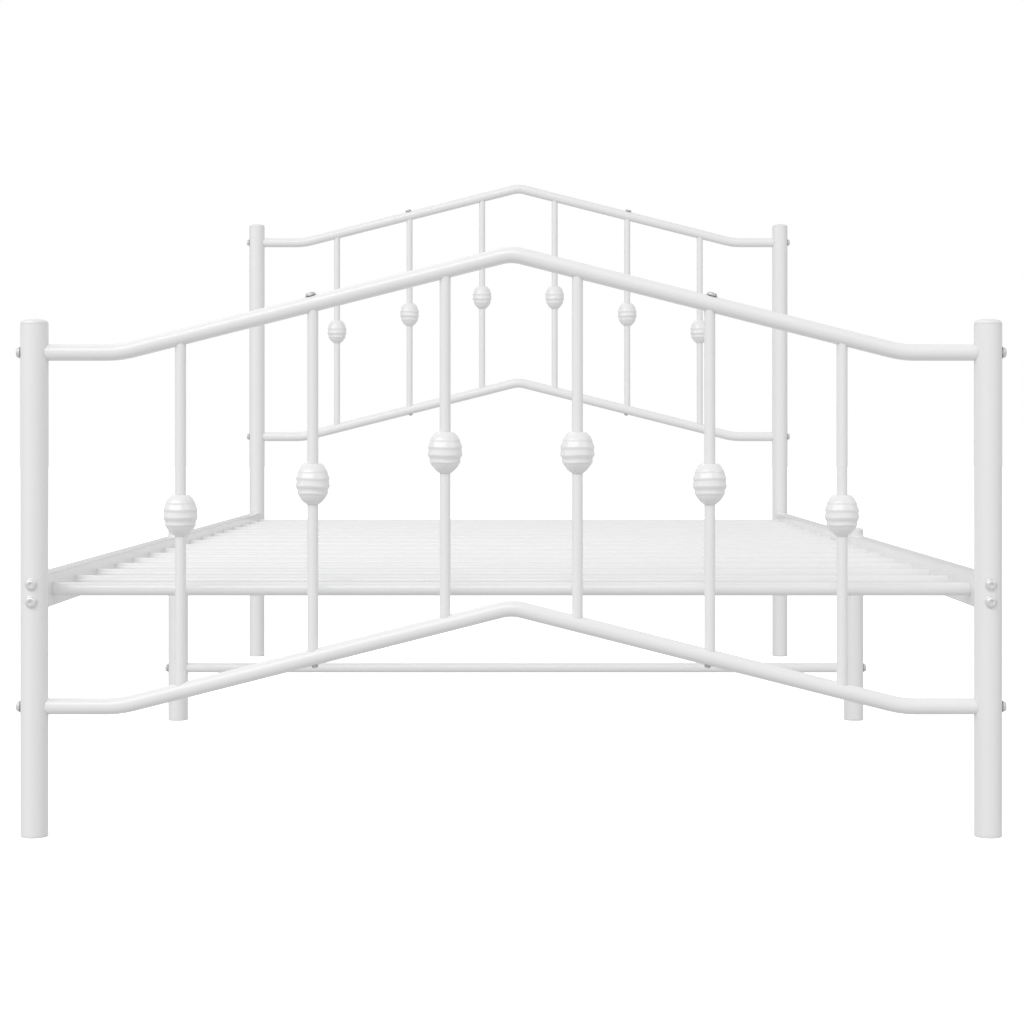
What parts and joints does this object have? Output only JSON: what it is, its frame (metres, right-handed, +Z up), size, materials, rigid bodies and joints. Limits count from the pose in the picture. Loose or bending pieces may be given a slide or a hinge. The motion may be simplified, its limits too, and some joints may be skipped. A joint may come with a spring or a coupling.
{
  "type": "single bed frame",
  "caption": "White tubular steel single bed frame with a peaked headboard and matching footboard, beaded balusters and round slats.",
  "frame": {"origin": "middle of the bed, on the floor under the glides", "axes": "+X across the bed, +Y along the bed from the foot to the head, +Z up"},
  "size_m": [1.1412, 2.1112, 0.9916],
  "materials": {
    "white_frame": "satin white powder coat over steel tube",
    "white_bead": "satin white powder coat over a cast ridged bead",
    "white_plastic": "white moulded plastic",
    "zinc_hardware": "zinc-plated button-head fasteners",
    "light_hardware": "bright zinc-plated button-head bolts",
    "hidden_steel": "plain steel, out of sight inside the tubes"
  },
  "bodies": {
    "root": {"baluster_inserts": "hidden_steel", "baluster_screws": "zinc_hardware", "cross_bar": "white_frame", "cross_bar_bolts": "zinc_hardware", "cross_bar_inserts": "hidden_steel", "foot_baluster_1": "white_frame", "foot_baluster_2": "white_frame", "foot_baluster_3": "white_frame", "foot_baluster_4": "white_frame", "foot_baluster_5": "white_frame", "foot_baluster_6": "white_frame", "foot_beads": "white_bead", "foot_glides": "white_plastic", "foot_lower_rail": "white_frame", "foot_post_left": "white_frame", "foot_post_right": "white_frame", "foot_top_rail": "white_frame", "head_baluster_1": "white_frame", "head_baluster_2": "white_frame", "head_baluster_3": "white_frame", "head_baluster_4": "white_frame", "head_baluster_5": "white_frame", "head_baluster_6": "white_frame", "head_beads": "white_bead", "head_lower_rail": "white_frame", "head_post_left": "white_frame", "head_post_right": "white_frame", "head_top_rail": "white_frame", "mid_leg_left": "white_frame", "mid_leg_right": "white_frame", "panel_rail_bolts": "zinc_hardware", "panel_rail_inserts": "hidden_steel", "post_caps": "white_plastic", "side_rail_bolts": "light_hardware", "side_rail_end_blocks": "hidden_steel", "side_rail_left_foot": "white_frame", "side_rail_left_head": "white_frame", "side_rail_right_foot": "white_frame", "side_rail_right_head": "white_frame", "slat_01": "white_frame", "slat_02": "white_frame", "slat_03": "white_frame", "slat_04": "white_frame", "slat_05": "white_frame", "slat_06": "white_frame", "slat_07": "white_frame", "slat_08": "white_frame", "slat_09": "white_frame", "slat_10": "white_frame", "slat_11": "white_frame", "slat_12": "white_frame", "slat_13": "white_frame", "slat_14": "white_frame", "slat_15": "white_frame", "slat_16": "white_frame", "stub_nuts": "hidden_steel", "stub_screws": "zinc_hardware"}
  },
  "joints": []
}
